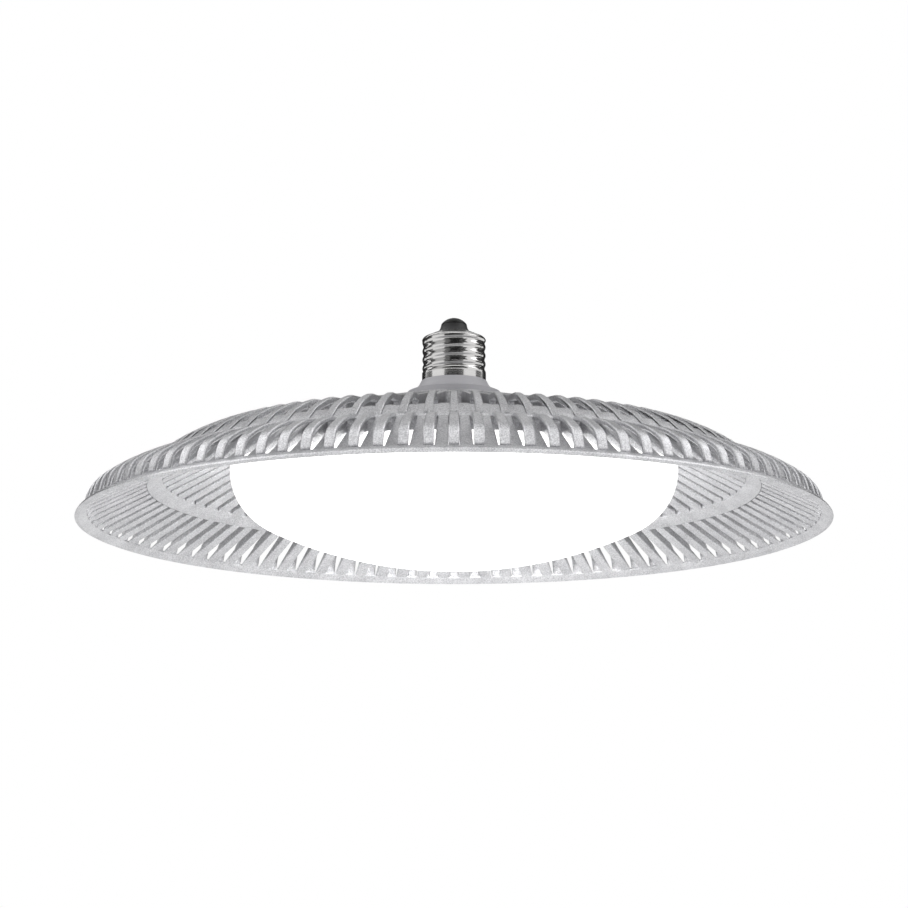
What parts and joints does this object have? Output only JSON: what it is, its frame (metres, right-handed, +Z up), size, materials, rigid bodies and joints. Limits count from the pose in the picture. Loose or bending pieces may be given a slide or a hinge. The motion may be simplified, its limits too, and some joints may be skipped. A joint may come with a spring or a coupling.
{
  "type": "led light bulb",
  "caption": "Flying-saucer LED bulb: a wide dish of slotted aluminium straps around an opal dome, with a flared collar and a screw cap on top that carries it.",
  "frame": {"origin": "on the bulb's axis, at the lower edge of the screw shell's plain skirt", "axes": "+Z up along the axis to the cap's tip, as the bulb hangs; +X to the right in the picture, -Y toward the camera"},
  "size_m": [0.31, 0.31, 0.1039],
  "materials": {
    "cast_aluminium": "satin die casting, clear coated",
    "nickel_shell": "nickel plated",
    "contact_metal": "dull tinned",
    "black_insulator": "moulded",
    "collar_plastic": "satin moulded",
    "opal_diffuser": "opal polycarbonate, lit from inside",
    "silicone": "bonded bead",
    "thermal_silicone": "soft pad",
    "white_solder_mask": "white solder mask on an aluminium core",
    "led_phosphor": "phosphor-filled silicone",
    "connector_nylon": "moulded nylon",
    "zinc_screws": "zinc plated",
    "housing_plastic": "moulded",
    "green_laminate": "solder mask",
    "capacitor_sleeve": "shrink sleeve",
    "ferrite": "sintered",
    "film_box": "potted box",
    "moulded_epoxy": "moulded",
    "varistor_coat": "dipped",
    "resistor_coat": "flameproof coat",
    "red_insulation": "wire insulation",
    "black_insulation": "wire insulation"
  },
  "bodies": {
    "root": {"centre_contact": "contact_metal", "cap_insulator": "black_insulator", "screw_shell": "nickel_shell", "neck_collar": "collar_plastic", "diffuser_dome": "opal_diffuser", "diffuser_gasket": "silicone", "thermal_pad": "thermal_silicone", "led_board": "white_solder_mask", "led_chips": "led_phosphor", "led_connector": "connector_nylon", "led_board_screws": "zinc_screws", "driver_housing": "housing_plastic", "driver_cover": "housing_plastic", "driver_board": "green_laminate", "bulk_capacitor": "capacitor_sleeve", "output_capacitor": "capacitor_sleeve", "transformer": "ferrite", "input_choke": "ferrite", "film_capacitor": "film_box", "bridge_rectifier": "moulded_epoxy", "driver_chip": "moulded_epoxy", "varistor": "varistor_coat", "fuse_resistor": "resistor_coat", "live_lead": "red_insulation", "positive_lead": "red_insulation", "neutral_lead": "black_insulation", "negative_lead": "black_insulation", "heat_sink_core": "cast_aluminium", "inner_ribs": "cast_aluminium", "inner_bars": "cast_aluminium", "mid_ring": "cast_aluminium", "outer_ribs": "cast_aluminium", "outer_bars": "cast_aluminium", "rim_flange": "cast_aluminium"}
  },
  "joints": []
}
